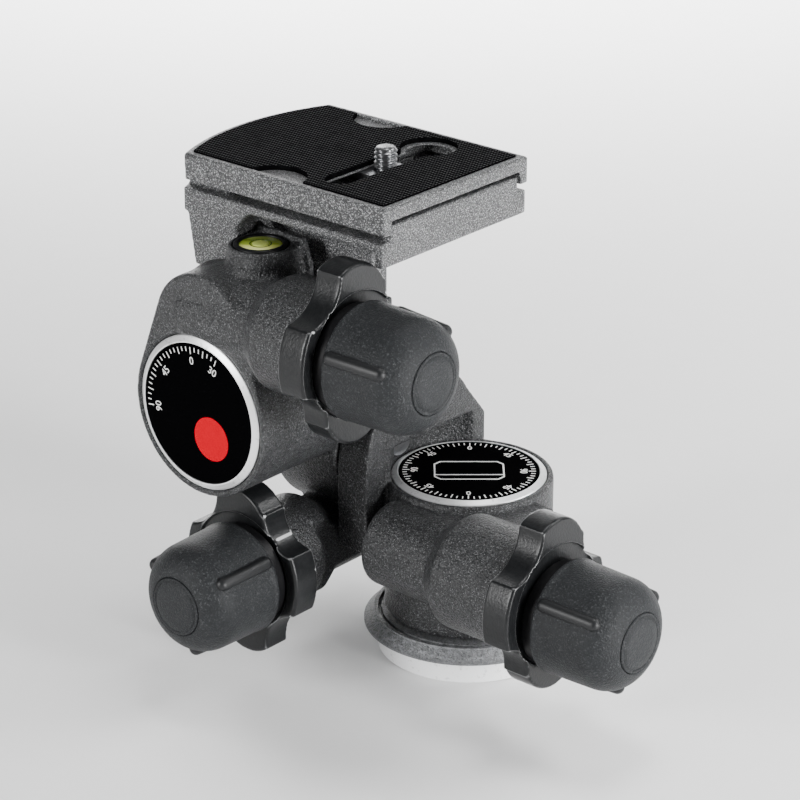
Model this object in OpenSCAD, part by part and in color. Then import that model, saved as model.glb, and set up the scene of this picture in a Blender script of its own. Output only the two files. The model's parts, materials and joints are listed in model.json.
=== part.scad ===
// Geared tripod head: three stacked worm drives (pan, front tilt, side roll) and a quick-release platform.
// Origin: centre of the mounting face, on the pan axis. +Z up, +X along the pan and roll knobs, -Y along the tilt knob.
// Millimetres.

/* [Base] */
// Radius of the bright mounting disc
base_r = 26; // [25:0.5:27]
// Radius of the bevelled flange
flange_r = 30; // [29:0.5:31]
// Height of the mounting disc
base_h = 7.7; // [7:0.1:8]

/* [Gear drives] */
// Teeth on each worm wheel
wheel_teeth = 48; // [48:12:48]
// Pitch radius of each worm wheel
wheel_r = 20.6; // [20.6:0.1:20.7]
// Pitch radius of each worm
worm_r = 5.9; // [5.9:0.1:5.9]
// Face width of each worm wheel
wheel_w = 8; // [6:0.5:8]
// Eccentric throw of each release sleeve
throw = 2.2; // [2.2:0.1:2.2]
// Outer radius of each gear drum
drum_r = 24.1; // [24.0:0.1:24.3]

/* [Dials] */
// Outer radius of each bezel
bezel_r = 22.1; // [22.0:0.1:22.3]
// Radius of each scale disc
dial_r = 19.9; // [19:0.1:20]

/* [Knobs] */
// Radius of the knob at its open end
knob_r = 16.3; // [15.5:0.1:16.6]
// Length from the collar face to the knob end
knob_len = 28.2; // [27:0.2:29]
// Ribs round each knob
knob_ribs = 3; // [2:1:4]
// Axial thickness of each release collar
collar_w = 8.6; // [8:0.1:8.8]

/* [Platform] */
// Length of the quick-release plate without its curved end
plate_l = 72; // [70:0.5:74]
// Width of the quick-release plate
plate_w = 58.7; // [58:0.1:59]
// Height of the plate's top face
plate_z = 148.9; // [148:0.1:150]
// How far the curved end bulges
bulge = 6.6; // [5:0.1:8]

/* [Hidden] */
$fn = 64;

// axis positions
cd = wheel_r + worm_r;               // centre distance of worm and wheel
pan_z = 37.4;                        // pan wheel plane
tilt_y = -5;  tilt_z = 59.5;  tilt_x = -32.8;   // tilt axis (along X) and its wheel plane
roll_x = -38.1; roll_z = 83.65; roll_y = -60.1;  // roll axis (along Y) and its wheel plane
pan_face = 52.5;                     // collar faces along each worm axis
tilt_face = 57.5;
roll_face = 9.6;
pan_dial_z = 53.9;  tilt_dial_x = -49.6;  roll_dial_y = -69.2;
joint_x = -24.4;                       // plane between the tilt housing and the pan arm
joint_y = -31;                       // plane between the roll housing and the tilt housing
axle_r = 9;
run = 0.05;                          // running clearance
gap = 0.4;
pitch = 2 * PI * wheel_r / wheel_teeth;
add = 0.7;  ded = 0.95;
sleeve_r = 9.5;
silver = [0.80,0.81,0.82];  paint = [0.24,0.25,0.26];  black = [0.06,0.06,0.065];  rubber = [0.17,0.18,0.18];
bronze = [0.68,0.52,0.30];  steel = [0.62,0.63,0.65];  grey = [0.45,0.46,0.47];

// frames: worm axis outward = local Z, wheel at the given turn about it
module at_pan()  { $s = 1; translate([pan_face,-cd,pan_z]) rotate([90,0,90]) rotate(90) children(); }
module at_tilt() { $s = 1; translate([tilt_x,-tilt_face,tilt_z-cd]) rotate([90,0,0]) rotate(180) children(); }
module at_roll() { $s = 1; translate([roll_face,roll_y,roll_z+cd]) rotate([90,0,90]) children(); }
// wheel frames: wheel axis = local Z pointing to the dial, origin at the wheel plane
module on_pan()  { translate([0,0,pan_z]) children(); }
module on_tilt() { translate([tilt_x,tilt_y,tilt_z]) rotate([0,-90,0]) children(); }
module on_roll() { translate([roll_x,roll_y,roll_z]) rotate([90,0,0]) children(); }

module ring(ro, ri, h) { difference() { cylinder(r=ro,h=h); translate([0,0,-1]) cylinder(r=ri,h=h+2); } }
module tube_z(r, z0, z1) { translate([0,0,z0]) cylinder(r=r,h=z1-z0); }
// solid of revolution with a rounded far edge
module puck(r, z0, z1, f) {
  rotate_extrude($fn=96) union() {
    translate([0,z0]) square([r, z1-z0-f]);
    translate([0,z0]) square([r-f, z1-z0]);
    translate([r-f,z1-f]) intersection() { circle(f); square(f+1); }
  }
}

// ---- gears ----
function tooth_pt(i, k) = let(
    a = 360/wheel_teeth, c = (i+0.5)*a,
    hp = 0.6, // half tooth thickness at the pitch circle
    ht = hp - add*tan(20), hr = hp + ded*tan(20),
    rt = wheel_r + add, rr = wheel_r - ded,
    d = k==0 ? -hr/rr*180/PI : k==1 ? -ht/rt*180/PI : k==2 ? ht/rt*180/PI : hr/rr*180/PI,
    r = (k==0 || k==3) ? rr : rt) [r*cos(c+d), r*sin(c+d)];
module wheel(bore) {
  difference() {
    translate([0,0,-wheel_w/2]) linear_extrude(wheel_w)
      polygon([for (i=[0:wheel_teeth-1], k=[0:3]) tooth_pt(i,k)]);
    translate([0,0,-wheel_w]) cylinder(r=bore,h=2*wheel_w);
    for (i=[0:5]) rotate(30+60*i) translate([15,0,-wheel_w]) cylinder(r=2.6,h=2*wheel_w,$fn=32);
  }
}
worm_pts = [[worm_r+add,19],[worm_r-0.1,58],[worm_r-ded,98],[worm_r-ded,125],[worm_r-ded,152],[worm_r-ded,180]];
// worm and its shaft; dist = collar face to wheel axis
module worm(dist) {
  n0 = 1.5; n = 5;
  translate([0,0,-dist-n0*pitch]) linear_extrude(n*pitch, twist=-360*n, slices=12*n, segments=11, convexity=6) rotate(-90-360*n0)
    polygon([for (p=worm_pts) [p[0]*cos(p[1]),p[0]*sin(p[1])], for (i=[4:-1:0]) let(p=worm_pts[i]) [p[0]*cos(p[1]),-p[0]*sin(p[1])]]);
  translate([0,0,-dist-4.6]) cylinder(r=4,h=dist+4.6+14);
  translate([0,0,14]) cylinder(r=3,h=7);
  translate([0,0,-dist+14.2]) cylinder(r=5.6,h=0.9);
}
// eccentric sleeve that carries the worm and turns in the casting
module sleeve(dist) {
  difference() {
    translate([$s*throw,0,-dist+15.4]) cylinder(r=sleeve_r,h=dist-15.4-0.6);
    translate([0,0,-dist]) cylinder(r=6.0,h=dist+1);
  }
}
module worm_bushes(dist) {
  translate([0,0,-dist+15.4]) ring(6.0, 4+run, 6);
  translate([0,0,-8.6]) ring(6.0, 4+run, 6);
}
// spiral return spring between collar and casting
function spiral(t, o) = let(r = 10.2 + 2.0*t/720 + o) [r*cos(t), r*sin(t)];
module release_spring() {
  translate([$s*throw,0,-collar_w-3.2]) linear_extrude(2.6)
    polygon([for (t=[0:15:720]) spiral(t,0), for (t=[720:-15:0]) spiral(t,0.5)]);
}
// winged release collar; turn = angle of its wings on the sleeve
module collar_outline() {
  module half() {
    difference() {
      union() { circle(r=21.2); translate([0.3,13.2]) circle(r=11.7); }
      translate([-18.3,23.6]) circle(r=12.3);
      translate([21.2,16.2]) circle(r=9.5);
      translate([-40,-60]) square([80,60]);
    }
  }
  union() { half(); rotate(180) half(); }
}
module collar(turn) {
  translate([$s*throw,0,-collar_w]) rotate(turn) difference() {
    union() {
      linear_extrude(collar_w-0.5) collar_outline();
      translate([0,0,collar_w-0.5]) linear_extrude(0.5) scale(0.982) collar_outline();
    }
    translate([0,0,-1]) cylinder(r=sleeve_r+0.03,h=20);
    translate([0,0,-0.1]) cylinder(r=13.6,h=0.6);
    // shallow dished recess round the knob
    translate([0,0,collar_w-1.2]) cylinder(r=17.2,h=2);
  }
}
module knob_hub() {
  difference() {
    union() {
      tube_z(14.6, -0.3, 3.0);
      tube_z(12.17, 3.0, 21.97);
    }
    tube_z(4, -2, 14);
    tube_z(3, 13.9, 23);
    tube_z(5.6, 21-0.0, 23);
  }
}
// fn points of the grip's outer profile
module grip_profile() {
  f = 9.2; r1 = knob_r-0.6;
  difference() {
    union() {
      polygon([[0,3.4],[knob_r-0.5,3.4],[knob_r,3.9],[knob_r,4.9],[knob_r-0.25,5.2],[r1,knob_len-f],[r1-f,knob_len-f+0.01],[0,knob_len-f+0.01]]);
      translate([r1-f,knob_len-f]) intersection() { circle(r=f,$fn=64); square(f+1); }
      translate([0,knob_len-f]) square([r1-f,f]);
    }
    translate([-1,0]) square([12.2+1,22]);
    translate([-1,22.0]) square([8.4+1,knob_len]);
  }
}
module knob_grip(turn) {
  rotate_extrude($fn=96) grip_profile();
  for (i=[0:knob_ribs-1]) rotate(turn+i*360/knob_ribs) rotate([0,-4.0,0]) translate([knob_r-0.10,0,0]) {
    translate([0,0,4.9]) cylinder(r=1.75,h=15.8,$fn=40);
    translate([0,0,4.9]) sphere(r=1.75,$fn=40);
    translate([0,0,20.7]) sphere(r=1.75,$fn=40);
  }
}
module knob_cap() {
  difference() {
    union() { tube_z(8.4, 22.05, knob_len-0.25); tube_z(7.7, knob_len-0.3, knob_len+0.15); }
    tube_z(5.6, 21, 25.4);
  }
}

// ---- base ----
module base_disc() { color(silver) difference() {
  union() { cylinder(r=base_r-0.4,h=0.4); translate([0,0,0.4]) cylinder(r=base_r,h=base_h-0.4); }
  translate([0,0,-1]) cylinder(r=7.5,h=20);
  for (i=[0:2]) rotate(120*i+40) translate([17,0,0]) { translate([0,0,-1]) cylinder(r=2.1,h=20,$fn=32); translate([0,0,-1]) cylinder(r=3.9,h=4,$fn=32); }
} }
module base_flange() { color(grey) difference() {
  union() {
    translate([0,0,base_h]) cylinder(r=flange_r,h=0.6);
    translate([0,0,base_h+0.6]) cylinder(r1=flange_r,r2=27,h=2.8);
    translate([0,0,base_h+3.4]) cylinder(r=27,h=0.5);
  }
  translate([0,0,base_h+2.9]) ring(25.9,24.9,3);
  translate([0,0,0]) cylinder(r=7.5,h=9.2);
  translate([0,0,base_h+1.4]) cylinder(r=14,h=20);
  for (i=[0:2]) rotate(120*i+40) translate([17,0,0]) cylinder(r=1.7,h=20,$fn=32);
} }
module base_screws() { color(steel) for (i=[0:2]) rotate(120*i+40) translate([17,0,0]) difference() {
  union() { translate([0,0,0.8]) cylinder(r=3.8,h=2.2,$fn=32); translate([0,0,2.9]) cylinder(r=1.7,h=7.9,$fn=32); }
  translate([0,0,0]) cylinder(r=1.5,h=2.2,$fn=6);
} }
module pan_spindle() { color(steel) difference() {
  union() {
    tube_z(7.5, 0, base_h+2);
    tube_z(14, base_h+1.4, base_h+5);
    tube_z(axle_r, base_h+4.9, pan_z+wheel_w/2);
    tube_z(6, pan_z+wheel_w/2-0.1, 50.3);
  }
  tube_z(3.97, -1, 11);
  tube_z(1.6, 44, 60);
} }
module pan_wheel() { color(bronze) on_pan() rotate(-90) wheel(axle_r); }
module nut_on(h) { translate([0,0,wheel_w/2]) { ring(10.5, 6, 1.0); translate([0,0,1]) difference() { cylinder(r=9.6,h=h,$fn=6); translate([0,0,-1]) cylinder(r=6,h=h+2); } } }
module pan_nut() { color(steel) on_pan() nut_on(3.2); }
// scale disc: top face at z, ticks and figures come with the finish
module dial(seat) {
  difference() {
    union() { translate([0,0,-1.4]) cylinder(r=dial_r,h=1.4); translate([0,0,-seat]) cylinder(r=4.6,h=seat-1.3); translate([0,0,-seat-2.5]) cylinder(r=1.55,h=3,$fn=32); }
  }
}
module pan_dial() { color(black) translate([0,0,pan_dial_z+0.3]) dial(3.8); }

// ---- pan body ----
module drum(z0, z1, r) { rotate_extrude($fn=96) polygon([[0,z0],[r-0.6,z0],[r,z0+0.6],[r,z1-0.8],[r-0.25,z1-0.2],[r-0.8,z1],[0,z1]]); }
// worm casing along local Z outward: bore centre is offset by the throw
module casing(rear, step, dist, r1, r2) {
  translate([$s*throw,0,0]) {
    translate([0,0,-dist-rear]) { puck_dn(r1, rear+dist-collar_w-gap, 1.6); }
    translate([0,0,-step]) rotate_extrude($fn=96) polygon([[0,-5.0],[r1-0.3,-5.0],[r2-0.3,0],[r2,0.6],[r2,step-collar_w-gap-0.8],[r2-0.8,step-collar_w-gap],[0,step-collar_w-gap]]);
  }
}
// cylinder with its near (z=0) edge rounded
module puck_dn(r, h, f) { translate([0,0,h]) mirror([0,0,1]) puck(r,0,h,f); }
module casing_bore(dist) {
  translate([$s*throw,0,-dist-5.2]) cylinder(r=9.2,h=dist);
  translate([$s*throw,0,-dist+14.6]) cylinder(r=sleeve_r+run,h=dist);
  translate([$s*throw,0,-collar_w-gap-3.1]) cylinder(r=13.5,h=20);
}
module drum_bore(zc0, zc1, zdial) {
  translate([0,0,zc0]) cylinder(r=wheel_r+add+0.4,h=zc1-zc0);
  translate([0,0,zdial-2.6]) cylinder(r=bezel_r,h=10);
  translate([0,0,zdial-1.0]) cylinder(r=bezel_r+0.4,h=10);
}
arm_t = 11;
module arm_block() {
  // round boss about the tilt axis, with a straight rear edge down to the drum
  translate([joint_x,0,0]) rotate([90,0,90]) linear_extrude(arm_t) union() {
    translate([tilt_y,tilt_z]) circle(r=drum_r-0.6,$fn=96);
    polygon([[tilt_y,tilt_z],[tilt_y+(drum_r-0.6)*cos(48),tilt_z+(drum_r-0.6)*sin(48)],[23.6,tilt_z+1.6],[23.6,33.6],[-28.8,33.6],[-28.8,tilt_z]]);
  }
  translate([joint_x,-20,33.6]) cube([arm_t+8,42,pan_dial_z-33.6-0.6]);
}
module pan_housing() { color(paint) difference() {
  union() {
    drum(12.4, pan_dial_z, drum_r-0.1);
    at_pan() casing(7.4, 31.5, pan_face, 12.4, 16.4);
    difference() {
      arm_block();
      // the arm's face is scooped round the dial
      translate([0,0,pan_dial_z-0.6]) cylinder(r1=bezel_r+0.6,r2=13,h=9.6);
    }
    // web between worm casing and drum
    translate([-6,-cd,27.2]) cube([37,cd,24.6]);
  }
  on_pan() drum_bore(-wheel_w/2-0.6, 20, pan_dial_z-pan_z);
  tube_z(axle_r+2.2, 10, 40);
  tube_z(15, 10, 14.6);
  at_pan() casing_bore(pan_face);
  // axle seat in the arm
  translate([joint_x-1,tilt_y,tilt_z]) rotate([0,90,0]) cylinder(r=5,h=4);
  for (a=[-57,-49]) rotate(a) translate([drum_r-0.5,-0.7,14.5]) cube([2,1.4,9]);
} }
module pan_bush() { color(bronze) difference() { tube_z(axle_r+2.17, 15, pan_z-wheel_w/2-0.7); tube_z(axle_r+run, 14, 35); } }
module bezel() { translate([0,0,0]) difference() { rotate_extrude($fn=96) polygon([[dial_r+0.25,-2.57],[bezel_r-0.03,-2.57],[bezel_r-0.03,-0.5],[bezel_r-0.25,-0.3],[dial_r+0.55,0.4],[dial_r+0.25,0.4]]); } }
module pan_bezel() { color(silver) translate([0,0,pan_dial_z]) bezel(); }
module tilt_axle() { color(steel) translate([0,tilt_y,tilt_z]) rotate([0,-90,0]) union() {
  translate([0,0,-joint_x-3]) cylinder(r=5,h=3.1);
  translate([0,0,-joint_x+0.0]) cylinder(r=axle_r,h=-tilt_x+wheel_w/2+joint_x);
  difference() { translate([0,0,-tilt_x+wheel_w/2-0.1]) cylinder(r=6,h=9.1); translate([0,0,-tilt_x+wheel_w/2+3]) cylinder(r=1.6,h=8); }
} }
module tilt_wheel() { color(bronze) on_tilt() rotate(180) wheel(axle_r); }
module tilt_nut() { color(steel) on_tilt() nut_on(3.2); }
module tilt_dial() { color(black) on_tilt() translate([0,0,tilt_x-tilt_dial_x+0.3]) dial(4.0); }

// ---- tilt body ----
module tilt_housing() { color(paint) difference() {
  union() {
    on_tilt() translate([0,0,0]) drum(tilt_x-joint_x+gap, tilt_x-tilt_dial_x, drum_r);
    intersection() {
      at_tilt() casing(7.4, 24.5, tilt_face+tilt_y, 11.6, 14.9);
      union() { translate([-80,-70,0]) cube([80+joint_x-gap,100,60]); translate([-80,-70,0]) cube([80,31.6,60]); }
    }
    // round seat of the roll axle
    intersection() {
      translate([roll_x,joint_y,roll_z]) rotate([-90,0,0]) drum(0, 20, 23.8);
      translate([-80,-40,40]) cube([80+joint_x-gap,60,80]);
    }
    // web between worm casing and drum
    translate([-46,-20,30]) cube([46+joint_x-gap,25,24]);
  }
  on_tilt() drum_bore(-wheel_w/2-0.6, 20, tilt_x-tilt_dial_x);
  translate([-20,tilt_y,tilt_z]) rotate([0,-90,0]) cylinder(r=axle_r+1.2,h=20);
  at_tilt() casing_bore(tilt_face+tilt_y);
  translate([roll_x,joint_y-1,roll_z]) rotate([-90,0,0]) cylinder(r=7,h=13);
} }
module tilt_bush() { color(bronze) translate([joint_x-gap,tilt_y,tilt_z]) rotate([0,-90,0]) difference() { cylinder(r=axle_r+1.17,h=3.2); translate([0,0,-1]) cylinder(r=axle_r+run,h=10); } }
module tilt_bezel() { color(silver) on_tilt() translate([0,0,tilt_x-tilt_dial_x]) bezel(); }
module roll_axle() { color(steel) translate([roll_x,0,roll_z]) rotate([90,0,0]) union() {
  translate([0,0,-joint_y-12]) cylinder(r=6.97,h=12.1);
  translate([0,0,-joint_y]) cylinder(r=axle_r,h=-roll_y+wheel_w/2+joint_y);
  difference() { translate([0,0,-roll_y+wheel_w/2-0.1]) cylinder(r=6,h=3.2); translate([0,0,-roll_y+wheel_w/2+0.2]) cylinder(r=1.6,h=8); }
} }
module roll_wheel() { color(bronze) on_roll() rotate(90) wheel(axle_r); }
module roll_nut() { color(steel) on_roll() nut_on(1.8); }
module roll_dial() { color(black) on_roll() translate([0,0,roll_y-roll_dial_y+0.3]) dial(2.1); }

// ---- roll body ----
lobe_d = 23.4; lobe_a = -2.2; lobe_r = 16.6;
module egg(h) {
  // round drum face joined to the smaller worm-casing lobe by its two tangents
  s = asin((drum_r-lobe_r)/lobe_d);
  rotate(lobe_a) linear_extrude(h) union() {
    circle(r=drum_r,$fn=96); translate([0,lobe_d]) circle(r=lobe_r,$fn=96);
    polygon([[drum_r*cos(s),drum_r*sin(s)],[lobe_r*cos(s),lobe_d+lobe_r*sin(s)],[-lobe_r*cos(s),lobe_d+lobe_r*sin(s)],[-drum_r*cos(s),drum_r*sin(s)]]);
  }
}
foot_z = 116;
neck_z = 117.7;
boss_z = 129.6;
module boss_plan(g) { union() { translate([-30.4,-51.7]) circle(r=8.9+g); translate([-39.1-g,-51]) square([17.4+2*g,8.2+g]); } }
module roll_housing() { color(paint) difference() {
  union() {
    translate([roll_x,joint_y-gap,roll_z]) rotate([90,0,0]) drum(0, 26, drum_r-0.2);
    translate([roll_x,-48.9,roll_z]) rotate([90,0,0]) egg(-48.9-roll_dial_y-0.0);
    at_roll() casing(7.4, 24.1, roll_face-roll_x, 13.0, 16.2);
    translate([0,0,roll_z+2]) linear_extrude(foot_z-roll_z-2) translate([-55.4,-49.2]) square([16.2,17.8]);
    translate([-40,-38,99]) cube([39,6.6,foot_z-99]);
      translate([-46,-58,roll_z+8]) cube([32,24,foot_z-roll_z-8]);
    translate([-46,-58,foot_z-6]) cube([32,19.4,9.2]);
    // low web behind the spirit level
    translate([0,-42.6,0]) rotate([90,0,0]) linear_extrude(2.1) polygon([[-39,118],[-39,132.0],[-36.5,131.0],[-21.5,131.0],[-19.2,124],[-19.2,118]]);
    // spirit level boss with drafted sides
    for (i=[0:3]) translate([0,0,118+(boss_z-118)*i/4]) linear_extrude((boss_z-118)/4) boss_plan(0.45*(3-i));
  }
  on_roll() drum_bore(-wheel_w/2-0.6, 20, roll_y-roll_dial_y);
  translate([roll_x,0,roll_z]) rotate([90,0,0]) cylinder(r=axle_r+2.2,h=60);
  at_roll() casing_bore(roll_face-roll_x);
  translate([-30.4,-51.7,boss_z-4.5]) cylinder(r=7.6,h=10);
  translate([-80,-48.95,foot_z]) cube([80-38.9,30,30]);
  translate([-80,-52.1,neck_z]) cube([80-38.9,30,30]);
  for (p=screw_pts) translate([p[0],p[1],foot_z-9]) cylinder(r=1.7,h=20,$fn=32);
} }
screw_pts = [[-50.8,-43.9],[-44.4,-43.9],[-50.8,-36.0],[-44.4,-36.0]];
module roll_bush() { color(bronze) translate([roll_x,joint_y-gap-0.2,roll_z]) rotate([90,0,0]) difference() { cylinder(r=axle_r+2.17,h=22); translate([0,0,-1]) cylinder(r=axle_r+run,h=30); } }
module roll_bezel() { color(silver) on_roll() translate([0,0,roll_y-roll_dial_y]) bezel(); }
module level_cup() { color(black) translate([-30.4,-51.7,boss_z-4.5]) difference() { union() { cylinder(r=7.57,h=4.5); translate([0,0,4.4]) cylinder(r=7.0,h=0.5); } translate([0,0,1]) cylinder(r=6.0,h=10); } }
module level_vial() { color([0.72,0.80,0.18,0.8]) translate([-30.4,-51.7,boss_z-3.5]) intersection() { cylinder(r=6.0,h=3.9); translate([0,0,-14.6]) sphere(r=18.7,$fn=96); } }

// ---- platform ----
px0 = -58.6; px1 = px0+plate_l; py0 = -51.5; py1 = py0+plate_w;
bulge_r = ((plate_w/2)*(plate_w/2)+bulge*bulge)/(2*bulge);
module plate_plan(inset) { // straight-sided plate with a curved far end
  intersection() {
    translate([px0-20,py0+inset]) square([plate_l+20-inset,plate_w-2*inset]);
    translate([px0-bulge+bulge_r,(py0+py1)/2]) circle(r=bulge_r-inset,$fn=128);
  }
  translate([px0+6,py0+inset]) square([plate_l-6-inset,plate_w-2*inset]);
}
tray_top = 144.7; tray_bot = 132.4; ledge = 139.2; band = 136.8;
lip_t = 2.9; ty0 = py0-0.3; ty1 = py1+0.3; tx1 = px1-0.6; slot_x = -11.2; screw_y = -22.8;
pin_x = -38; pin_y = 0.2;
module tray_plan(a, b, g=0) { intersection() { plate_plan(-g); translate([-90,a]) square([90+tx1,b-a]); } }
module platform() { color(paint) difference() {
  union() {
    translate([0,0,tray_bot]) linear_extrude(ledge-tray_bot) tray_plan(ty0,ty1,0.3);
    translate([0,0,ledge-0.1]) linear_extrude(tray_top-ledge+0.1) tray_plan(py0+lip_t+0.35,py1-lip_t-0.35);
    // neck
    translate([0,-31.4,0]) rotate([90,0,0]) linear_extrude(-31.4-ty0) polygon([[-54.9,foot_z],[-58.7,ledge],[-39.2,ledge],[-39.2,foot_z]]);
    translate([-40,-38,foot_z]) cube([37,6.6,tray_bot-foot_z+1]);
    // rear gusset
    translate([-54.4,0,0]) rotate([90,0,90]) linear_extrude(34.4) polygon([[-33,foot_z+1.5],[-33,tray_bot+1],[-6.5,tray_bot+1],[-6.5,tray_bot-2],[-31.4,foot_z+1.5]]);
  }
  // neck stands on the step of the housing
  translate([-70,-60,foot_z-10]) cube([40,11.25,neck_z-foot_z+10]);
  // cove under the front ledge, clear of the release collar
  translate([0,-38,0]) rotate([90,0,0]) linear_extrude(30) polygon([[-39.2,110],[-39.2,132.2],[-34.6,band],[tx1-2.7,band],[tx1-2.7,110]]);
  // deeper groove under the front lip
  translate([-45,py0-5,ledge]) cube([45+tx1-3,5+lip_t+3.2,4.2]);
  // shadow gap under the end of the plate
  translate([tx1-3.5,py0+lip_t+0.1,tray_top-1.1]) cube([10,plate_w-2*lip_t-0.2,3]);
  // hollow underside
  translate([-50,-26,tray_bot-3]) cube([52,19,9.5]);
  for (p=screw_pts) translate([p[0],p[1],foot_z-1]) { cylinder(r=2.1,h=40,$fn=32); translate([0,0,12]) cylinder(r=3.0,h=40,$fn=32); }
  // groove for the head of the camera screw
  translate([slot_x-7,py0+5,tray_top-2.4]) cube([14,plate_w-8.4,10]);
  // lever pocket and pin bore at the far side
  translate([pin_x-6,pin_y-5.5,tray_bot-1]) cube([12,20,12.2]);
  translate([pin_x,pin_y,tray_bot-10]) cylinder(r=2,h=19.5,$fn=32);
} }
module platform_screws() { color(steel) for (p=screw_pts) translate([p[0],p[1],0]) difference() {
  union() { translate([0,0,foot_z-8.5]) cylinder(r=1.7,h=20,$fn=32); translate([0,0,foot_z+11]) cylinder(r=2.75,h=2.8,$fn=32); }
  translate([0,0,foot_z+12.4]) cylinder(r=1.4,h=4,$fn=6);
} }

// ---- quick-release plate ----
module quick_plate() { color(paint) difference() {
  union() {
    translate([0,0,tray_top+0.2]) linear_extrude(plate_z-tray_top-0.7) plate_plan(0);
    translate([0,0,plate_z-0.5]) linear_extrude(0.5) plate_plan(0.4);
    // hooked side lips
    translate([px0,py0,141.3]) cube([plate_l,lip_t,4]);
    translate([px0,py1-lip_t,141.3]) cube([plate_l,lip_t,4]);
  }
  // recess for the pad
  translate([0,0,plate_z-1.0]) linear_extrude(2) plate_plan(2.3);
  // slot for the camera screw, with a channel for its carrier below
  translate([slot_x-3.4,-41,130]) cube([6.8,36,40]);
  translate([slot_x,-41,130]) cylinder(r=3.4,h=40);
  translate([slot_x,-5,130]) cylinder(r=6.2,h=40);
  translate([slot_x-6.7,-47,130]) cube([13.4,48.6,17.35]);
} }
module pad_cut() {
  translate([slot_x-4.2,-41]) square([8.4,36]); translate([slot_x,-41]) circle(r=4.2);
  translate([slot_x,-5]) circle(r=8.0);
  translate([-26,py0+0.4]) circle(r=9.2); translate([-37,py1-0.4]) circle(r=9.2);
}
module plate_pad() { color(black) translate([0,0,plate_z-1.0]) linear_extrude(1.35) difference() { plate_plan(2.3); pad_cut(); } }
module screw_carrier() { color(steel) translate([slot_x,screw_y,145.2]) difference() { translate([-6.4,-6.4,0]) cube([12.8,12.8,2.0]); translate([0,0,-1]) cylinder(r=3.175+run,h=5); } }
module camera_screw() { color(silver) translate([slot_x,screw_y,0]) union() {
  // plain shank, relieved neck, then the threaded length above the pad
  translate([0,0,144.6]) cylinder(r=3.175,h=3.0);
  translate([0,0,147.5]) cylinder(r=2.75,h=2.2);
  translate([0,0,149.55]) cylinder(r=3.175,h=3.25);
  translate([0,0,plate_z+3.8]) cylinder(r1=3.175,r2=2.3,h=0.9);
  translate([0,0,143.0]) cylinder(r=5.4,h=2.1);
} }
module lever_pin() { color(steel) translate([pin_x,pin_y,tray_bot-5.4]) { cylinder(r=2,h=14.8,$fn=32); cylinder(r=3.4,h=1.2,$fn=32); } }
// swinging lever below the tray with an eccentric cam that grips the plate's lip
module lock_lever() { color(black) translate([pin_x,pin_y,0]) difference() {
  union() {
    translate([0,0,tray_bot-4.1]) { cylinder(r=5,h=3.7); translate([0,1.2,0]) cube([27,6.6,3.7]); translate([27,5.5,0]) cylinder(r=4.3,h=3.7); }
    translate([0,0.55,tray_bot-0.5]) cylinder(r=3.3,h=11.5);
  }
  translate([0,0,tray_bot-10]) cylinder(r=2+run,h=80,$fn=32);
} }

// ---- drive units ----
module pan_collar() { color(black) at_pan() collar(-90); }
module pan_sleeve() { color(steel) at_pan() sleeve(pan_face); }
module pan_release_spring() { color(steel) at_pan() release_spring(); }
module pan_worm() { color(steel) at_pan() worm(pan_face); }
module pan_worm_bushes() { color(bronze) at_pan() worm_bushes(pan_face); }
module pan_knob_hub() { color(black) at_pan() knob_hub(); }
module pan_knob_grip() { color(rubber) at_pan() knob_grip(56); }
module pan_knob_cap() { color(rubber) at_pan() knob_cap(); }
module tilt_collar() { color(black) at_tilt() collar(188); }
module tilt_sleeve() { color(steel) at_tilt() sleeve(tilt_face+tilt_y); }
module tilt_release_spring() { color(steel) at_tilt() release_spring(); }
module tilt_worm() { color(steel) at_tilt() worm(tilt_face+tilt_y); }
module tilt_worm_bushes() { color(bronze) at_tilt() worm_bushes(tilt_face+tilt_y); }
module tilt_knob_hub() { color(black) at_tilt() knob_hub(); }
module tilt_knob_grip() { color(rubber) at_tilt() knob_grip(215); }
module tilt_knob_cap() { color(rubber) at_tilt() knob_cap(); }
module roll_collar() { color(black) at_roll() collar(0); }
module roll_sleeve() { color(steel) at_roll() sleeve(roll_face-roll_x); }
module roll_release_spring() { color(steel) at_roll() release_spring(); }
module roll_worm() { color(steel) at_roll() worm(roll_face-roll_x); }
module roll_worm_bushes() { color(bronze) at_roll() worm_bushes(roll_face-roll_x); }
module roll_knob_hub() { color(black) at_roll() knob_hub(); }
module roll_knob_grip() { color(rubber) at_roll() knob_grip(159); }
module roll_knob_cap() { color(rubber) at_roll() knob_cap(); }

base_disc();
base_flange();
base_screws();
pan_spindle();
pan_wheel();
pan_nut();
pan_dial();
pan_housing();
pan_bush();
pan_bezel();
tilt_axle();
tilt_wheel();
tilt_nut();
tilt_dial();
tilt_housing();
tilt_bush();
tilt_bezel();
roll_axle();
roll_wheel();
roll_nut();
roll_dial();
roll_housing();
roll_bush();
roll_bezel();
platform();
platform_screws();
level_cup();
level_vial();
pan_collar();
pan_sleeve();
pan_release_spring();
pan_worm();
pan_worm_bushes();
pan_knob_hub();
pan_knob_grip();
pan_knob_cap();
tilt_collar();
tilt_sleeve();
tilt_release_spring();
tilt_worm();
tilt_worm_bushes();
tilt_knob_hub();
tilt_knob_grip();
tilt_knob_cap();
roll_collar();
roll_sleeve();
roll_release_spring();
roll_worm();
roll_worm_bushes();
roll_knob_hub();
roll_knob_grip();
roll_knob_cap();
lever_pin();
quick_plate();
plate_pad();
screw_carrier();
camera_screw();
lock_lever();
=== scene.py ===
import bpy, bmesh, math, json
import numpy as np
from mathutils import Vector, Matrix


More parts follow.
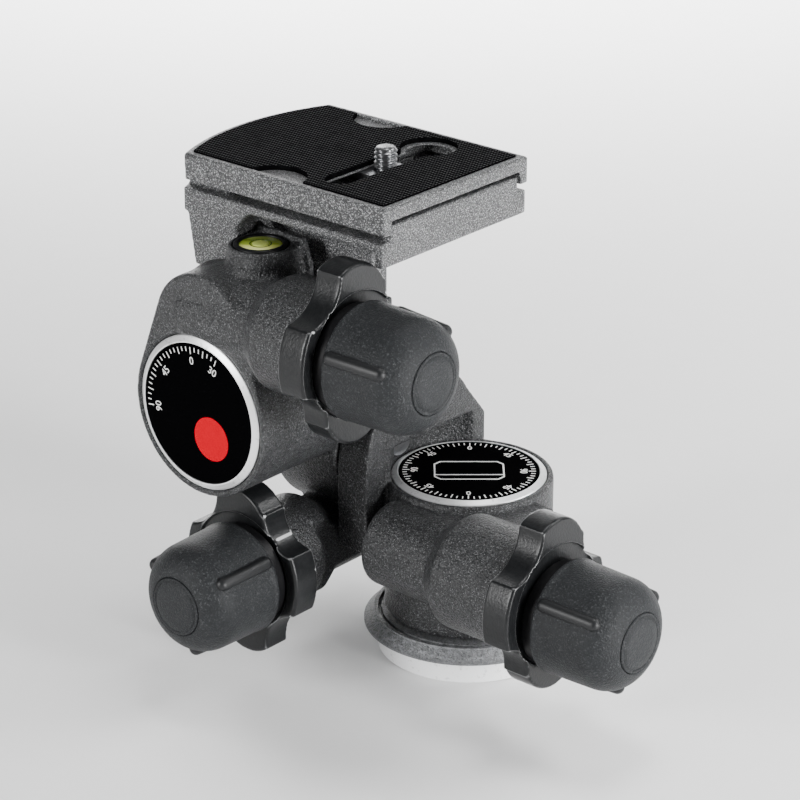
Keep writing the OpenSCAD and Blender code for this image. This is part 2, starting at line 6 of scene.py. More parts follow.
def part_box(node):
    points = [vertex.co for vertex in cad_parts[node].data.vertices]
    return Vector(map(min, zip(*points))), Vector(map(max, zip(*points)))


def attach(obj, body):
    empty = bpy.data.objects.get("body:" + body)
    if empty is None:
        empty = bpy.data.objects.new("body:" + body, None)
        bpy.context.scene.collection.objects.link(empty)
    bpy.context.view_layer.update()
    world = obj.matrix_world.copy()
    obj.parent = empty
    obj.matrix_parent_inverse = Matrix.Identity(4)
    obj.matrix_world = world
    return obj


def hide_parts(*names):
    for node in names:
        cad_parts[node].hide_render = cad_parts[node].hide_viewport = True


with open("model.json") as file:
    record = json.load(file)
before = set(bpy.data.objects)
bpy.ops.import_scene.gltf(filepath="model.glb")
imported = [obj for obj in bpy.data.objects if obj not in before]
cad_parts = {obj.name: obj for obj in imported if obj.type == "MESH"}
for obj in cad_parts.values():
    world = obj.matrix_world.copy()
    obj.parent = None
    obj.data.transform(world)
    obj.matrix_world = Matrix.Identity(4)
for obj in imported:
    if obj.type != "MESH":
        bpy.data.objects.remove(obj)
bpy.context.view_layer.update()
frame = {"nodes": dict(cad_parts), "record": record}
NODES = frame["nodes"]
MM = 0.001

# ------------------------------------------------------------------ camera
def make_camera():
    az, el = math.radians(40.88), math.radians(23.13)
    loc = Vector((476.6, -580.5, 396.6)) * MM
    back = Vector((math.sin(az) * math.cos(el), -math.cos(az) * math.cos(el), math.sin(el)))
    right = Vector((math.cos(az), math.sin(az), 0))
    up = back.cross(right)
    cam = bpy.data.objects.new("camera", bpy.data.cameras.new("camera"))
    m = Matrix((right, up, back)).transposed().to_4x4()
    m.translation = loc
    cam.matrix_world = m
    cam.data.lens = 131.05
    cam.data.sensor_width = 36
    cam.data.clip_start, cam.data.clip_end = 0.01, 20
    bpy.context.collection.objects.link(cam)
    bpy.context.scene.camera = cam

make_camera()

# ------------------------------------------------------------------ materials
class Mat:
    """Small helper round a node tree."""
    def __init__(self, name):
        self.m = bpy.data.materials.new(name)
        self.m.use_nodes = True
        self.t = self.m.node_tree
        self.b = self.t.nodes["Principled BSDF"]
        self.co = self.t.nodes.new("ShaderNodeTexCoord").outputs["Object"]
    def new(self, kind, **kw):
        n = self.t.nodes.new(kind)
        for k, v in kw.items():
            if k in n.inputs: n.inputs[k].default_value = v
            else: setattr(n, k, v)
        return n
    def link(self, a, b): self.t.links.new(a, b)
    def noise(self, scale, detail=3.0, rough=0.55, vec=None):
        n = self.new("ShaderNodeTexNoise", Scale=scale, Detail=detail, Roughness=rough)
        self.link(vec or self.co, n.inputs["Vector"])
        return n.outputs["Fac"]
    def voronoi(self, scale, vec=None, feature="F1"):
        n = self.new("ShaderNodeTexVoronoi", Scale=scale)
        n.feature = feature
        self.link(vec or self.co, n.inputs["Vector"])
        return n.outputs["Distance"]
    def ramp(self, fac, stops):
        r = self.new("ShaderNodeValToRGB")
        e = r.color_ramp.elements
        while len(e) < len(stops): e.new(0.5)
        for el, (p, c) in zip(e, stops):
            el.position = p
            el.color = (c, c, c, 1) if isinstance(c, (int, float)) else (*c, 1)
        self.link(fac, r.inputs["Fac"])
        return r.outputs["Color"]
    def mix(self, fac, a, b, mode="MIX"):
        n = self.new("ShaderNodeMix", data_type="RGBA", blend_type=mode)
        f, a_in, b_in = n.inputs[0], n.inputs[6], n.inputs[7]
        for s, v in ((f, fac), (a_in, a), (b_in, b)):
            if isinstance(v, bpy.types.NodeSocket): self.link(v, s)
            elif isinstance(v, (tuple, list)): s.default_value = (*v, 1)
            else: s.default_value = v
        return n.outputs[2]
    def color(self, v): self.link(v, self.b.inputs["Base Color"]) if isinstance(v, bpy.types.NodeSocket) else self.set("Base Color", (*v, 1))
    def set(self, k, v): self.b.inputs[k].default_value = v
    def rough(self, fac, lo, hi):
        n = self.new("ShaderNodeMapRange")
        n.inputs["To Min"].default_value, n.inputs["To Max"].default_value = lo, hi
        self.link(fac, n.inputs["Value"]); self.link(n.outputs["Result"], self.b.inputs["Roughness"])
    def bump(self, height, dist, strength=1.0, prev=None):
        n = self.new("ShaderNodeBump", Strength=strength, Distance=dist)
        self.link(height, n.inputs["Height"])
        if prev is not None: self.link(prev, n.inputs["Normal"])
        self.link(n.outputs["Normal"], self.b.inputs["Normal"])
        return n.outputs["Normal"]
    # Pointiness ramp over convex edges; the paints use it as a mask for painted edge highlights.
    def edges(self, lo, hi):
        g = self.new("ShaderNodeNewGeometry")
        return self.ramp(g.outputs["Pointiness"], [(lo, 0.0), (hi, 1.0)])

def graphite(name, base=(0.0080, 0.0084, 0.0090), light=(0.165, 0.168, 0.173), fleck_at=0.59, spec=0.34):
    """Dark hammered powder coat: fine pale flecks over a nearly black ground, with painted highlights on convex edges.
    """
    m = Mat(name)
    grain = m.noise(1500, 2.0, 0.55)
    big = m.noise(560, 2.0, 0.5)
    speck = m.ramp(m.noise(1700, 3.0, 0.62), [(0.49, 0.0), (0.68, 1.0)])
    fleck = m.ramp(m.noise(2900, 1.5, 0.5), [(fleck_at, 0.0), (fleck_at + 0.10, 1.0)])
    c = m.mix(m.ramp(big, [(0.35, 0.0), (0.68, 1.0)]), base, tuple(v * 1.8 for v in base))
    c = m.mix(speck, c, tuple(v * 0.27 for v in light))
    c = m.mix(fleck, c, light)
    # Lighter convex edges (pointiness mask): painted highlight along the rims, also on the plate and flange paints.
    c = m.mix(m.edges(0.53, 0.60), c, (0.11, 0.113, 0.117))
    m.color(c)
    m.rough(grain, 0.30, 0.50)
    m.set("Metallic", 0.0); m.set("Specular IOR Level", spec)
    n = m.bump(grain, 0.00050, 1.0)
    m.bump(big, 0.00035, 0.5, n)
    return m.m

def enamel(name):
    m = Mat(name)
    n1 = m.noise(900, 3)
    c = m.mix(m.ramp(n1, [(0.3, 0.0), (0.8, 1.0)]), (0.0050, 0.0054, 0.0060), (0.0105, 0.0112, 0.0120))
    # Near-white convex edges (pointiness mask): painted highlight lines along the collar rims.
    c = m.mix(m.edges(0.525, 0.575), c, (0.42, 0.425, 0.43))
    m.color(c); m.rough(n1, 0.26, 0.40); m.set("Specular IOR Level", 0.30)
    m.bump(m.noise(1500, 2), 0.00010, 0.6)
    return m.m

def rubber(name):
    m = Mat(name)
    g = m.noise(1900, 2, 0.6); big = m.noise(900, 2)
    c = m.mix(m.ramp(big, [(0.3, 0.0), (0.75, 1.0)]), (0.0095, 0.0104, 0.0115), (0.0150, 0.0163, 0.0177))
    c = m.mix(m.ramp(g, [(0.55, 0.0), (0.78, 1.0)]), c, (0.060, 0.063, 0.066))
    m.color(c); m.rough(g, 0.42, 0.58); m.set("Specular IOR Level", 0.20)
    m.bump(g, 0.00030, 1.0)
    return m.m

def turned(name, col, rough=(0.22, 0.40), metallic=1.0, centre=None, axis=None):
    """Turned metal: fine rings about an axis when one is given, else fine random grain."""
    m = Mat(name)
    if centre is not None:
        sub = m.new("ShaderNodeVectorMath", operation="SUBTRACT")
        m.link(m.co, sub.inputs[0]); sub.inputs[1].default_value = centre
        cr = m.new("ShaderNodeVectorMath", operation="CROSS_PRODUCT")
        m.link(sub.outputs[0], cr.inputs[0]); cr.inputs[1].default_value = axis
        ln = m.new("ShaderNodeVectorMath", operation="LENGTH")
        m.link(cr.outputs[0], ln.inputs[0])
        cmb = m.new("ShaderNodeCombineXYZ"); m.link(ln.outputs["Value"], cmb.inputs[0])
        g = m.noise(9000, 2, 0.7, cmb.outputs[0])
    else:
        g = m.noise(3500, 3, 0.7)
    spots = m.ramp(m.noise(700, 2), [(0.60, 0.0), (0.72, 1.0)])
    c = m.mix(spots, col, tuple(v * 0.72 for v in col))
    m.color(c); m.set("Metallic", metallic); m.rough(g, *rough)
    m.bump(g, 0.00002, 0.5)
    return m.m

def matte(name, col, var=1.6, rough=(0.45, 0.6), grain=1800, spec=0.4):
    m = Mat(name)
    g = m.noise(grain, 2)
    m.color(m.mix(m.ramp(g, [(0.35, 0.0), (0.7, 1.0)]), col, tuple(min(1, v * var) for v in col)))
    m.rough(g, *rough); m.bump(g, 0.00005, 0.4); m.set("Specular IOR Level", spec)
    return m.m

def diamond_pad(name):
    """Fine moulded diamond grain; its peaks on upward faces carry a painted highlight in pale grey."""
    m = Mat(name)
    sep = m.new("ShaderNodeSeparateXYZ"); m.link(m.co, sep.inputs[0])
    waves = []
    for sgn in (1, -1):
        a = m.new("ShaderNodeMath", operation="MULTIPLY_ADD")
        m.link(sep.outputs["Y"], a.inputs[0]); a.inputs[1].default_value = 0.62 * sgn
        m.link(sep.outputs["X"], a.inputs[2])
        s = m.new("ShaderNodeMath", operation="MULTIPLY"); m.link(a.outputs[0], s.inputs[0]); s.inputs[1].default_value = 3600
        w = m.new("ShaderNodeMath", operation="SINE"); m.link(s.outputs[0], w.inputs[0])
        waves.append(w.outputs[0])
    mul = m.new("ShaderNodeMath", operation="MULTIPLY"); m.link(waves[0], mul.inputs[0]); m.link(waves[1], mul.inputs[1])
    mr = m.new("ShaderNodeMapRange"); mr.inputs["From Min"].default_value = -1; m.link(mul.outputs[0], mr.inputs["Value"])
    h = mr.outputs["Result"]
    vt = m.new("ShaderNodeVectorTransform", vector_type="NORMAL", convert_from="WORLD", convert_to="OBJECT")
    m.link(m.new("ShaderNodeNewGeometry").outputs["True Normal"], vt.inputs[0])
    up = m.new("ShaderNodeSeparateXYZ"); m.link(vt.outputs[0], up.inputs[0])
    # Painted highlight mask: grain peaks on faces pointing up in the pad's own frame.
    top = m.new("ShaderNodeMath", operation="MULTIPLY"); m.link(m.ramp(h, [(0.55, 0.0), (0.85, 1.0)]), top.inputs[0])
    m.link(m.ramp(up.outputs["Z"], [(0.6, 0.0), (0.9, 1.0)]), top.inputs[1])
    # Painted highlight: pale grey on the masked peaks over near-black rubber, with the specular turned off.
    c = m.mix(top.outputs[0], (0.0022, 0.0022, 0.0025), (0.075, 0.076, 0.078))
    c = m.mix(m.ramp(m.noise(500, 2), [(0.45, 0.0), (1.0, 1.0)]), c, (0.008, 0.0083, 0.0088))
    m.color(c); m.rough(h, 0.80, 0.70); m.set("Specular IOR Level", 0.0)
    m.bump(top.outputs[0], 0.00015, 0.8)
    return m.m

def glow_liquid(name):
    """Yellow-green liquid with painted light: a bright highlight crescent at the front edge, painted shade deepening
    towards the back, and a lighter painted highlight at the far rim.
    """
    m = Mat(name)
    sep = m.new("ShaderNodeSeparateXYZ"); m.link(m.co, sep.inputs[0])
    # Painted light across the vial along a fixed front-to-back direction: highlight at the front, painted shade behind
    # it, lighter again at the far rim.
    t = m.new("ShaderNodeMath", operation="MULTIPLY_ADD")
    m.link(sep.outputs["X"], t.inputs[0]); t.inputs[1].default_value = -0.65
    k = m.new("ShaderNodeMath", operation="MULTIPLY"); m.link(sep.outputs["Y"], k.inputs[0]); k.inputs[1].default_value = 0.76
    m.link(k.outputs[0], t.inputs[2])
    mr = m.new("ShaderNodeMapRange")
    c0 = -0.65 * -0.0304 + 0.76 * -0.0517
    mr.inputs["From Min"].default_value = c0 - 0.0055; mr.inputs["From Max"].default_value = c0 + 0.0055
    m.link(t.outputs[0], mr.inputs["Value"])
    r = m.new("ShaderNodeValToRGB"); e = r.color_ramp.elements
    e[0].position, e[0].color = 0.0, (0.85, 0.86, 0.42, 1)
    e[1].position, e[1].color = 0.36, (0.66, 0.70, 0.17, 1)
    e.new(0.46).color = (0.26, 0.36, 0.022, 1); e.new(0.80).color = (0.15, 0.25, 0.012, 1); e.new(0.95).color = (0.42, 0.50, 0.16, 1)
    m.link(mr.outputs["Result"], r.inputs["Fac"])
    n = m.noise(420, 2)
    m.color(m.mix(m.ramp(n, [(0.45, 0.0), (0.8, 0.30)]), r.outputs["Color"], (0.55, 0.62, 0.12)))
    # Faint yellow-green emission: painted glow, the liquid is no lamp.
    m.rough(n, 0.06, 0.14); m.set("Emission Strength", 0.06)
    m.b.inputs["Emission Color"].default_value = (0.5, 0.62, 0.08, 1)
    return m.m

def clear_glass(name):
    m = Mat(name)
    n = m.noise(300, 2)
    m.color(m.mix(n, (0.96, 0.98, 0.94), (1, 1, 1)))
    m.rough(n, 0.02, 0.06); m.set("Transmission Weight", 1.0); m.set("IOR", 1.45)
    return m.m

M = {
    "graphite": graphite("graphite_paint"),
    "plate": graphite("plate_paint", (0.020, 0.0206, 0.0215), (0.38, 0.385, 0.39), 0.555, 0.45),
    "flange": graphite("flange_paint", (0.15, 0.154, 0.16), (0.30, 0.305, 0.31)),
    "enamel": enamel("black_enamel"),
    "rubber": rubber("knob_rubber"),
    "rib": matte("smooth_rib", (0.0040, 0.0044, 0.0050), 1.6, (0.42, 0.52), spec=0.36),
    "lever": matte("lever_enamel", (0.007, 0.0075, 0.008), 1.7, (0.26, 0.36), spec=0.4),
    "pad": diamond_pad("pad_rubber"),
    "black": matte("scale_black", (0.0012, 0.0012, 0.0014), 1.6, (0.30, 0.40), spec=0.0),
    "plastic": matte("black_plastic", (0.004, 0.004, 0.0045), 1.7, (0.36, 0.5), spec=0.16),
    "white": matte("scale_white", (0.80, 0.80, 0.79), 1.06, (0.4, 0.5)),
    "red": matte("red_enamel", (0.52, 0.0, 0.012), 1.10, (0.32, 0.42), spec=0.0),
    "bronze": turned("bronze", (0.62, 0.42, 0.20), (0.25, 0.42)),
    "steel": turned("steel", (0.50, 0.51, 0.53), (0.22, 0.38)),
    "bright": turned("bright_steel", (0.22, 0.224, 0.23), (0.24, 0.38)),
    "base": turned("bright_alloy", (0.93, 0.935, 0.94), (0.34, 0.50), 0.20, (0, 0, 0), (0, 0, 1)),
    "liquid": glow_liquid("vial_liquid"),
    "glass": clear_glass("vial_glass"),
    "bubble": matte("vial_bubble", (0.50, 0.58, 0.14), 1.25, (0.05, 0.12), 900, 0.6),
    "mark": matte("vial_mark", (0.06, 0.10, 0.01), 1.3, (0.2, 0.3), 900, 0.4),
}
RC, TC, PC = (-38.1, -60.1, 83.65), (-32.8, -5.0, 59.5), (0.0, 0.0, 37.4)
for key, c, ax in (("ring_roll", RC, (0, 1, 0)), ("ring_tilt", TC, (1, 0, 0)), ("ring_pan", PC, (0, 0, 1))):
    M[key] = turned(key, (0.90, 0.905, 0.91), (0.30, 0.46), 0.75, tuple(v * MM for v in c), ax)

BY_SLOT = {"bright_alloy": "base", "grey_casting": "flange", "scale_black": "black", "bronze": "bronze", "steel": "steel",
           "bright_steel": "bright", "black_enamel": "enamel", "knob_rubber": "rubber", "black_plastic": "plastic",
           "graphite_paint": "graphite", "pad_rubber": "pad", "vial": "liquid", "satin_ring": "ring_pan"}
slot_of = {s["node"]: s["material_slot"] for s in frame["record"]["subparts"]}
body_of = {n: b for b, ns in frame["record"]["behaviour"]["bodies"].items() for n in ns}

def dress(obj, mat):
    obj.data.materials.clear()
    obj.data.materials.append(mat)

for n, o in NODES.items():
    dress(o, M[BY_SLOT[slot_of[n]]])
dress(NODES["lock_lever"], M["lever"]); dress(NODES["roll_bezel"], M["ring_roll"]); dress(NODES["tilt_bezel"], M["ring_tilt"])

# ------------------------------------------------------------------ mesh helpers
def add(name, verts, faces, mat, body, replaces=(), smooth=True):
    me = bpy.data.meshes.new(name)
    me.from_pydata([tuple(v) for v in verts], [], [tuple(int(i) for i in f) for f in faces])
    me.validate(); me.update()
    if smooth:
        me.polygons.foreach_set("use_smooth", [True] * len(me.polygons))
    o = bpy.data.objects.new(name, me)
    bpy.context.collection.objects.link(o)
    dress(o, mat)
    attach(o, body)
    if replaces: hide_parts(*replaces)
    return o

def cast(node, voxel, iters, name, lam=0.5, keep_box=True):
    """Copy of a CAD solid with its corners rolled over, as a mould or a coat of paint leaves them."""
    src = NODES[node]
    tmp = bpy.data.objects.new("tmp", src.data.copy())
    bpy.context.collection.objects.link(tmp)
    bm = bmesh.new(); bm.from_mesh(tmp.data)
    bmesh.ops.remove_doubles(bm, verts=bm.verts, dist=1e-6)
    bm.to_mesh(tmp.data); bm.free()
    mod = tmp.modifiers.new("r", "REMESH"); mod.mode = "VOXEL"; mod.voxel_size = voxel * MM
    ev = tmp.evaluated_get(bpy.context.evaluated_depsgraph_get())
    me = bpy.data.meshes.new_from_object(ev)
    bpy.data.objects.remove(tmp)
    nv = len(me.vertices)
    co = np.empty(nv * 3); me.vertices.foreach_get("co", co); co = co.reshape(-1, 3)
    ed = np.empty(len(me.edges) * 2, dtype=np.int64); me.edges.foreach_get("vertices", ed); ed = ed.reshape(-1, 2)
    deg = np.bincount(ed.ravel(), minlength=nv)[:, None].astype(float)
    lo, hi = co.min(0), co.max(0)
    for _ in range(iters):
        s = np.empty_like(co)
        for k in range(3):
            s[:, k] = np.bincount(ed[:, 0], co[ed[:, 1], k], nv) + np.bincount(ed[:, 1], co[ed[:, 0], k], nv)
        co += lam * (s / np.maximum(deg, 1) - co)
    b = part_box(node)
    co = np.clip(co, np.array(b[0]), np.array(b[1]))
    me.vertices.foreach_set("co", co.ravel())
    me.polygons.foreach_set("use_smooth", [True] * len(me.polygons))
    me.update()
    o = bpy.data.objects.new(name, me)
    bpy.context.collection.objects.link(o)
    dress(o, M["plate"] if node in ("platform", "quick_plate") else M[BY_SLOT[slot_of[node]]])
    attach(o, body_of[node]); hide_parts(node)
    return o

for n in ("pan_housing", "tilt_housing", "roll_housing"):
    cast(n, 0.45, 9, n + "_cast")
cast("platform", 0.42, 4, "platform_cast")
cast("quick_plate", 0.36, 3, "quick_plate_cast")
for d in ("pan", "tilt", "roll"):
    cast(d + "_collar", 0.3, 4, d + "_collar_cast")
    cast(d + "_knob_grip", 0.34, 5, d + "_grip_moulded")

# ------------------------------------------------------------------ dials
def plane_map(origin, right, up, out):
    o, r, u, n = (np.array(v, float) for v in (origin, right, up, out))
    return lambda x, y, z=0.0: (o + r * x + u * y + n * z) * MM

def mark_mesh(marks, pm, z0, z1):
    """Thin raised marks: each is a list of (x, y) corners, counter-clockwise."""
    V, F = [], []
    for poly in marks:
        i, n = len(V), len(poly)
        V += [pm(x, y, z0) for x, y in poly] + [pm(x, y, z1) for x, y in poly]
        F.append([i + n + k for k in range(n)])
        F.append([i + k for k in reversed(range(n))])
        F += [[i + k, i + (k + 1) % n, i + n + (k + 1) % n, i + n + k] for k in range(n)]
    return V, F

def tick(a, r0, r1, w):
    c, s = math.cos(math.radians(a)), math.sin(math.radians(a))
    return [(r0 * c + w / 2 * s, r0 * s - w / 2 * c), (r1 * c + w / 2 * s, r1 * s - w / 2 * c),
            (r1 * c - w / 2 * s, r1 * s + w / 2 * c), (r0 * c - w / 2 * s, r0 * s + w / 2 * c)]

def numeral(text, size, a, r, pm, z0, z1, turn=None, squash=1.0):
    cu = bpy.data.curves.new("n", "FONT")
    cu.body, cu.size, cu.align_x, cu.align_y = text, size, "CENTER", "CENTER"
    cu.extrude, cu.resolution_u = 0.5, 6
    o = bpy.data.objects.new("n", cu); bpy.context.collection.objects.link(o)
    me = bpy.data.meshes.new_from_object(o.evaluated_get(bpy.context.evaluated_depsgraph_get()))
    bpy.data.objects.remove(o)
    ar = math.radians(a); t = math.radians(a - 90 if turn is None else turn)
    V = []
    for v in me.vertices:
        x, y = v.co.x * squash, v.co.y
        V.append(pm(r * math.cos(ar) + x * math.cos(t) - y * math.sin(t), r * math.sin(ar) + x * math.sin(t) + y * math.cos(t), z1 if v.co.z > 0 else z0))
    F = [list(p.vertices) for p in me.polygons]
    return V, F

def gather(parts):
    V, F = [], []
    for v, f in parts:
        i = len(V); V += list(v); F += [[i + k for k in q] for q in f]
    return V, F

def scale_marks(name, pm, zt, ticks, nums, body, extra=(), rt=18.9, size=2.5, rn=15.2, w=0.30):
    parts = []
    marks = []
    for a in ticks:
        long = abs((a[1]) % 15) < 0.01
        marks.append(tick(a[0], rt - (2.0 if long else 1.25), rt, w))
    parts.append(mark_mesh(marks, pm, zt - 0.10, zt + 0.06))
    for txt, a, t in nums:
        parts.append(numeral(txt, size, a, rn, pm, zt - 0.10, zt + 0.06, t))
    for e in extra:
        parts.append(mark_mesh(e, pm, zt - 0.10, zt + 0.06))
    V, F = gather(parts)
    return add(name, V, F, M["white"], body, smooth=False)

def frame_line(w, h, c, t):
    """Thin outline of a plate with clipped corners, as four sides and four corner strips."""
    def ring(d):
        a, b, k = w / 2 - d, h / 2 - d, c - d * 0.42
        return [(-a + k, -b), (a - k, -b), (a, -b + k), (a, b - k), (a - k, b), (-a + k, b), (-a, b - k), (-a, -b + k)]
    o, i = ring(0), ring(t)
    return [[o[k], o[(k + 1) % 8], i[(k + 1) % 8], i[k]] for k in range(8)]

def rot(polys, a):
    c, s = math.cos(math.radians(a)), math.sin(math.radians(a))
    return [[(x * c - y * s, x * s + y * c) for x, y in p] for p in polys]

# side dial: faces -Y
pm_r = plane_map((RC[0], RC[1], RC[2]), (1, 0, 0), (0, 0, 1), (0, -1, 0))
z_r = 9.1 + 0.3
scale_marks("side_scale_marks", pm_r, z_r, [(97 + k, k) for k in range(-30, 91, 5)],
            [("0", 97, None), ("45", 142, None), ("90", 187, None), ("30", 67, None)], "tilt_body", rt=19.0, rn=15.0, size=3.1)
seg = 72
disc = [[(4.9 + 6.3 * math.cos(2 * math.pi * k / seg), -6.2 + 6.3 * math.sin(2 * math.pi * k / seg)) for k in range(seg)]]
V, F = mark_mesh(disc, pm_r, z_r - 0.1, z_r + 0.08)
add("side_red_spot", V, F, M["red"], "tilt_body", smooth=False)

# pan dial: faces +Z
pm_p = plane_map(PC, (1, 0, 0), (0, 1, 0), (0, 0, 1))
z_p = 53.9 - 37.4 + 0.3
box = rot(frame_line(20.0, 12.4, 1.8, 0.42), 40.9) + rot([[(-9.6, -3.1), (9.6, -3.1), (9.6, -2.75), (-9.6, -2.75)]], 40.9)
scale_marks("pan_scale_marks", pm_p, z_p, [(-51 + k, k) for k in range(0, 360, 5)],
            [(t, -51 + 45 * k, None if k != 0 else 40) for k, t in enumerate(("0", "45", "90", "45", "0", "45", "90", "45"))],
            "base", (box,), rt=18.9, rn=15.4, size=3.0)

# tilt dial: faces -X, hidden side of the head
pm_t = plane_map(TC, (0, -1, 0), (0, 0, 1), (-1, 0, 0))
z_t = 49.6 - 32.8 + 0.3
scale_marks("tilt_scale_marks", pm_t, z_t, [(90 + k, k) for k in range(-90, 31, 5)],
            [("0", 90, None), ("45", 45, None), ("90", 0, None), ("30", 120, None)], "pan_body", rt=19.0, rn=15.0, size=3.1)

# ------------------------------------------------------------------ camera screw with a real thread
def revolve(profile, pm, seg=64):
    V, F = [], []
    n = len(profile)
    for k in range(seg):
        a = 2 * math.pi * k / seg
        V += [pm(r * math.cos(a), r * math.sin(a), z) for r, z in profile]
    for k in range(seg):
        for i in range(n - 1):
            a, b = k * n + i, ((k + 1) % seg) * n + i
            F.append([a, b, b + 1, a + 1])
    return V, F

def threaded(name, centre, z0, z1, r_out, r_in, pitch, mat, body, reps):
    pm = plane_map((centre[0], centre[1], 0), (1, 0, 0), (0, 1, 0), (0, 0, 1))
    seg, V, F = 48, [], []
    steps = int((z1 - z0) / 0.09)
    for j in range(steps + 1):
        z = z0 + (z1 - z0) * j / steps
        for k in range(seg):
            a = 2 * math.pi * k / seg
            ph = (z / pitch - k / seg) % 1.0
            t = abs(2 * ph - 1)
            t = min(1, max(0, (t - 0.12) / 0.76))
            r = r_in + (r_out - r_in) * t
            end = min(1, (z1 - z) / 0.9)
            r = min(r, r_in - 0.1 + (r_out - r_in + 0.1) * end)
            V.append(pm(r * math.cos(a), r * math.sin(a), z))
    for j in range(steps):
        for k in range(seg):
            a, b = j * seg + k, j * seg + (k + 1) % seg
            F.append([a, b, b + seg, a + seg])
    c = len(V); V.append(pm(0, 0, z1)); top = steps * seg
    F += [[top + k, top + (k + 1) % seg, c] for k in range(seg)]
    # head below the plate
    prof = [(0.0, 143.0), (4.9, 143.0), (5.4, 143.5), (5.4, 144.6), (4.9, 145.1), (2.4, 145.1), (2.4, z0 + 0.1), (0.0, z0 + 0.1)]
    h = revolve(prof, pm)
    V, F = gather([(V, F), h])
    return add(name, V, F, mat, body, reps)

threaded("camera_screw_thread", (-11.2, -22.8), 144.9, 148.9 + 4.7, 3.17, 2.55, 1.27, M["bright"], "camera_screw_body", ("camera_screw",))

# ------------------------------------------------------------------ spirit level: cup, liquid, ring and bubble
lv = (-30.4, -51.7); lz = 129.6
pm_l = plane_map((lv[0], lv[1], lz), (1, 0, 0), (0, 1, 0), (0, 0, 1))
def turned_piece(name, prof, mat, reps=(), body="roll_body", pm=pm_l):
    V, F = revolve(prof, pm, 72)
    return add(name, V, F, mat, body, reps)
turned_piece("level_liquid", [(0, -3.4), (5.9, -3.4), (5.9, -0.35), (5.6, -0.1), (0, -0.1)], M["liquid"], ("level_vial",))
turned_piece("level_rim", [(5.95, -3.2), (5.95, 0.0), (6.05, 0.28), (6.4, 0.38), (6.9, 0.36), (7.3, 0.1), (7.45, -0.3), (7.45, -4.2), (0, -4.2), (0, -3.6), (5.5, -3.6), (5.95, -3.2)], M["plastic"], ("level_cup",))
turned_piece("level_ring", [(2.75, -0.12), (3.05, -0.12), (3.05, 0.0), (2.75, 0.0), (2.75, -0.12)], M["mark"])
turned_piece("level_bubble", [(0, 0.16)] + [(2.3 * math.sin(a), 0.02 + 0.14 * math.cos(a)) for a in (0.4, 0.8, 1.2, 1.57)] + [(2.1, -0.12), (0, -0.12)], M["bubble"])

# ------------------------------------------------------------------ knob end caps with their ring groove
caps = {
    "pan": plane_map((52.5, -26.5, 37.4), (0, 1, 0), (0, 0, 1), (1, 0, 0)),
    "roll": plane_map((9.6, -60.1, 110.15), (0, 1, 0), (0, 0, 1), (1, 0, 0)),
    "tilt": plane_map((-32.8, -57.5, 33.0), (1, 0, 0), (0, 0, 1), (0, -1, 0)),
}
L = 28.2
for d, pm in caps.items():
    prof = [(0, 25.6), (5.6, 25.6), (5.6, 22.1), (8.35, 22.1), (8.35, L - 0.35), (8.15, L - 0.12), (7.75, L - 0.02), (7.55, L - 0.28), (7.30, L - 0.28),
            (7.1, L + 0.0), (5.0, L + 0.12), (2.5, L + 0.15), (0, L + 0.15)]
    V, F = revolve(prof, pm, 96)
    add(d + "_end_cap", V, F, M["rubber"], d + "_knob_body", (d + "_knob_cap",))

# ------------------------------------------------------------------ smooth ribs of the knob grips
def capsule(pm, ang, r=1.98, seg=20, cap=6):
    """Round-ended bar lying along the grip, sunk by 4 degrees towards the knob's end."""
    t = math.radians(4.0); x0, z0, z1 = 16.3 - 0.10, 4.9, 20.7
    prof = [(r * math.sin(math.pi / 2 * k / cap), z0 - r * math.cos(math.pi / 2 * k / cap)) for k in range(cap + 1)]
    prof += [(r * math.cos(math.pi / 2 * k / cap), z1 + r * math.sin(math.pi / 2 * k / cap)) for k in range(cap + 1)]
    def place(u, v, w):
        x, y, z = x0 + u, v, w
        x, z = x * math.cos(t) - z * math.sin(t), x * math.sin(t) + z * math.cos(t)
        ca, sa = math.cos(ang), math.sin(ang)
        return pm(x * ca - y * sa, x * sa + y * ca, z)
    V, F = [place(0, 0, prof[0][1])], []
    for rr, zz in prof[1:-1]:
        V += [place(rr * math.cos(2 * math.pi * k / seg), rr * math.sin(2 * math.pi * k / seg), zz) for k in range(seg)]
    V.append(place(0, 0, prof[-1][1]))
    n = len(prof) - 2
    for k in range(seg):
        F.append((0, 1 + (k + 1) % seg, 1 + k))
        for j in range(n - 1):
            a, b = 1 + j * seg + k, 1 + j * seg + (k + 1) % seg
            F.append((a, b, b + seg, a + seg))
        F.append((1 + (n - 1) * seg + k, 1 + (n - 1) * seg + (k + 1) % seg, len(V) - 1))
    return V, F

grips = {
    "pan": (plane_map((52.5, -26.5, 37.4), (0, 0, 1), (0, -1, 0), (1, 0, 0)), 56),
    "tilt": (plane_map((-32.8, -57.5, 33.0), (-1, 0, 0), (0, 0, -1), (0, -1, 0)), 215),
    "roll": (plane_map((9.6, -60.1, 110.15), (0, 1, 0), (0, 0, 1), (1, 0, 0)), 159),
}
for d, (pm, turn) in grips.items():
    for i in range(3):
        V, F = capsule(pm, math.radians(turn + 120 * i))
        add(d + "_rib_%d" % (i + 1), V, F, M["rib"], d + "_knob_body")

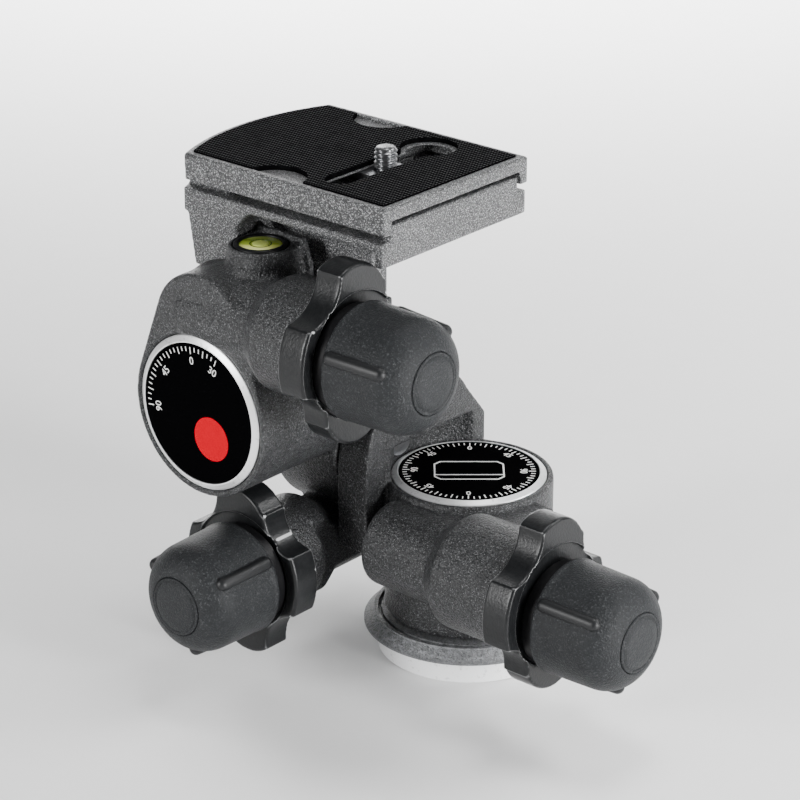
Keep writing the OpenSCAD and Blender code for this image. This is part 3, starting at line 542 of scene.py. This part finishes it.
# ------------------------------------------------------------------ stage and light
def area(name, loc, target, size, power, col=(1, 1, 1), size_y=None):
    li = bpy.data.lights.new(name, "AREA"); li.energy = power; li.size = size; li.color = col
    if size_y: li.shape, li.size_y = "RECTANGLE", size_y
    o = bpy.data.objects.new(name, li); bpy.context.collection.objects.link(o)
    o.location = loc
    o.rotation_euler = (Vector(target) - Vector(loc)).to_track_quat("-Z", "Y").to_euler()
    return o

tgt = (-0.005, -0.03, 0.085)
area("key_right", (0.98, -0.05, 0.24), tgt, 0.22, 17.5, size_y=0.45)
area("top", (0.02, 0.10, 1.1), tgt, 0.30, 5.0)
area("fill_left", (-0.35, -1.05, 0.40), tgt, 0.26, 13.5, size_y=0.5)
area("rim_left", (-0.75, 0.55, 0.45), tgt, 0.25, 1.5, size_y=0.7)
area("sweep", (-0.55, 0.65, 0.62), (-0.90, 1.05, 0.0), 0.5, 34.0)
area("sweep_right", (0.42, 0.46, 0.60), (0.62, 0.68, 0.0), 0.45, 16.0)

w = bpy.data.worlds.new("w"); bpy.context.scene.world = w; w.use_nodes = True
w.node_tree.nodes["Background"].inputs[0].default_value = (0.93, 0.94, 0.95, 1)
w.node_tree.nodes["Background"].inputs[1].default_value = 0.12

fm = Mat("floor_paper"); g = fm.noise(60, 3)
fm.color(fm.mix(g, (0.90, 0.90, 0.90), (0.93, 0.93, 0.93))); fm.rough(g, 0.6, 0.75)
bm = bmesh.new()
prof = [(-3.0, 0.0), (1.2, 0.0)] + [(1.2 + 0.8 * math.sin(a), 0.8 - 0.8 * math.cos(a)) for a in [math.pi / 2 * k / 12 for k in range(1, 13)]] + [(2.0, 3.0)]
az = math.radians(40.88); dirv = Vector((-math.sin(az), math.cos(az), 0)); side = Vector((math.cos(az), math.sin(az), 0))
rows = [[bm.verts.new(dirv * d + side * s + Vector((0, 0, z - 0.0002))) for s in (-4, 4)] for d, z in prof]
for a, b in zip(rows, rows[1:]): bm.faces.new((a[0], a[1], b[1], b[0]))
me = bpy.data.meshes.new("floor"); bm.to_mesh(me); bm.free()
for p in me.polygons: p.use_smooth = True
floor = bpy.data.objects.new("floor", me); bpy.context.collection.objects.link(floor); dress(floor, fm.m)
